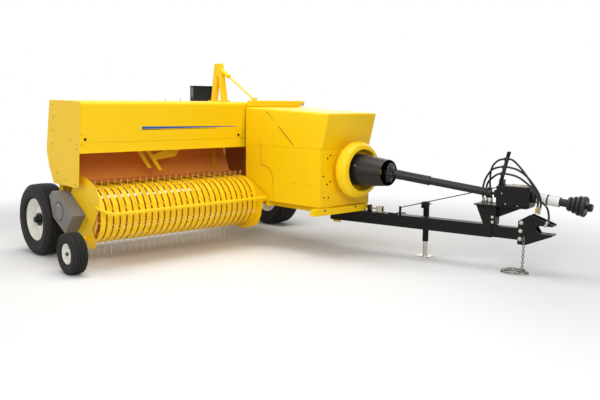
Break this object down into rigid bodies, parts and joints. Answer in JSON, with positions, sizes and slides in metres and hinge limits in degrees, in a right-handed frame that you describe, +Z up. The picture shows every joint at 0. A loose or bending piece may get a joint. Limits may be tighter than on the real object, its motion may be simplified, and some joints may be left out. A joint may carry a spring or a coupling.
{
  "type": "square baler",
  "caption": "Towed square baler with a tined side pickup, a cross feeder, a bale chamber and a black swinging tongue with its drive shaft, painted yellow.",
  "frame": {"origin": "bottom centre of the whole machine's box, on the ground as it parks", "axes": "+X towards the hitch, +Y to the machine's left, +Z up"},
  "size_m": [5.6594, 3.301, 1.89],
  "materials": {
    "black_paint": "satin",
    "black_plastic": "satin",
    "cast_iron": "matte",
    "grey_paint": "satin",
    "tyre_rubber": "matte",
    "white_paint": "gloss",
    "yellow_paint": "gloss",
    "zinc": "satin"
  },
  "bodies": {
    "root": {"axle": "black_paint", "chamber_floor": "yellow_paint", "chamber_left_wall": "yellow_paint", "chamber_right_wall": "yellow_paint", "chamber_top": "yellow_paint", "feeder_beam": "yellow_paint", "feeder_end_panel": "yellow_paint", "feeder_fork": "yellow_paint", "feeder_shell": "yellow_paint", "gearbox": "cast_iron", "hood_front_wall": "yellow_paint", "hood_rear": "yellow_paint", "knotter_frame": "yellow_paint", "knotter_shield": "black_plastic", "left_side_panel": "yellow_paint", "main_frame": "yellow_paint", "right_side_panel": "yellow_paint", "stay_mast": "yellow_paint", "tension_frame": "yellow_paint", "top_beam": "yellow_paint", "top_tension_rail": "yellow_paint", "twine_box": "yellow_paint"},
    "right_wheel": {"right_wheel_tyre": "tyre_rubber", "right_wheel_rim": "white_paint", "right_wheel_hub": "black_paint"},
    "left_wheel": {"left_wheel_tyre": "tyre_rubber", "left_wheel_rim": "white_paint", "left_wheel_hub": "black_paint"},
    "pickup": {"pickup_guards": "yellow_paint", "pickup_ends": "yellow_paint", "drive_shield": "grey_paint", "gauge_arm": "yellow_paint"},
    "gauge_wheel": {"gauge_wheel_tyre": "tyre_rubber", "gauge_wheel_rim": "white_paint"},
    "reel": {"tine_reel": "yellow_paint"},
    "flywheel": {"flywheel": "yellow_paint", "drive_cone": "black_plastic"},
    "hood_lid": {"hood_lid": "yellow_paint"},
    "right_door": {"right_door": "yellow_paint"},
    "left_door": {"left_door": "yellow_paint"},
    "tongue": {"tongue_beam": "black_paint", "hitch_jaws": "black_paint", "drive_stand": "black_paint", "bearing_box": "black_paint", "hoses": "black_plastic", "jack_tube": "black_paint", "safety_chain": "zinc", "shaft_guard": "black_plastic"},
    "driveline_front": {"driveline_front": "black_plastic"},
    "driveline_rear": {"driveline_rear": "black_plastic"},
    "drive_yoke": {"drive_yoke": "black_paint"},
    "jack_leg": {"jack_leg": "zinc"},
    "chute": {"bale_chute": "yellow_paint"},
    "twine_lid": {"twine_box_lid": "yellow_paint"}
  },
  "joints": [
    {"name": "right_wheel_spin", "type": "hinge", "parent": "root", "child": "right_wheel", "pos_m": [-1.22309, -1.3895, 0.344], "axis": [0, 1, 0], "continuous": true},
    {"name": "left_wheel_spin", "type": "hinge", "parent": "root", "child": "left_wheel", "pos_m": [-1.22309, 1.5105, 0.363], "axis": [0, 1, 0], "continuous": true},
    {"name": "pickup_lift", "type": "hinge", "parent": "root", "child": "pickup", "pos_m": [-0.80309, -0.466, 0.6], "axis": [0, -1, 0], "range_deg": [0, 12]},
    {"name": "gauge_wheel_spin", "type": "hinge", "parent": "pickup", "child": "gauge_wheel", "pos_m": [-0.24509, -1.5815, 0.183], "axis": [0, 1, 0], "continuous": true},
    {"name": "reel_spin", "type": "hinge", "parent": "pickup", "child": "reel", "pos_m": [-0.43309, -0.466, 0.43], "axis": [0, 1, 0], "continuous": true},
    {"name": "flywheel_spin", "type": "hinge", "parent": "root", "child": "flywheel", "pos_m": [0.71891, 0.8505, 0.845], "axis": [1, 0, 0], "continuous": true},
    {"name": "hood_lid_hinge", "type": "hinge", "parent": "root", "child": "hood_lid", "pos_m": [-0.10309, 0.8505, 1.42076], "axis": [0, -1, 0], "range_deg": [0, 65]},
    {"name": "right_door_hinge", "type": "hinge", "parent": "root", "child": "right_door", "pos_m": [0.66231, 0.48323, 0.768], "axis": [0, 0, 1], "range_deg": [0, 85]},
    {"name": "left_door_hinge", "type": "hinge", "parent": "root", "child": "left_door", "pos_m": [0.66231, 1.1605, 0.768], "axis": [0, 0, -1], "range_deg": [0, 85]},
    {"name": "tongue_swing", "type": "hinge", "parent": "root", "child": "tongue", "pos_m": [0.37691, 1.0135, 0.357], "axis": [0, 0, 1], "range_deg": [-25, 0]},
    {"name": "driveline_swing", "type": "hinge", "parent": "tongue", "child": "driveline_front", "pos_m": [2.00822, 1.3662, 0.692], "axis": [0, 0, 1], "range_deg": [-25, 0]},
    {"name": "driveline_slide", "type": "slide", "parent": "driveline_front", "child": "driveline_rear", "axis": [0.8392, 0.5206, -0.1575], "range_m": [0, 0.12]},
    {"name": "drive_yoke_spin", "type": "hinge", "parent": "tongue", "child": "drive_yoke", "pos_m": [2.33203, 1.43621, 0.69], "axis": [0.9716, 0.2101, -0.1093], "continuous": true},
    {"name": "jack_slide", "type": "slide", "parent": "tongue", "child": "jack_leg", "axis": [0, 0, 1], "range_m": [0, 0.135]},
    {"name": "chute_hinge", "type": "hinge", "parent": "root", "child": "chute", "pos_m": [-2.47969, 0.8505, 0.562], "axis": [0, 1, 0], "range_deg": [0, 80]},
    {"name": "twine_lid_hinge", "type": "hinge", "parent": "root", "child": "twine_lid", "pos_m": [-1.91909, 1.0348, 1.214], "axis": [1, 0, 0], "range_deg": [0, 85]}
  ],
  "couplings": [
    {"joint": "driveline_swing", "follows": "tongue_swing", "ratio": 0.856},
    {"joint": "driveline_slide", "follows": "tongue_swing", "m_per_rad": -0.2452},
    {"joint": "drive_yoke_spin", "follows": "flywheel_spin", "ratio": 1}
  ]
}
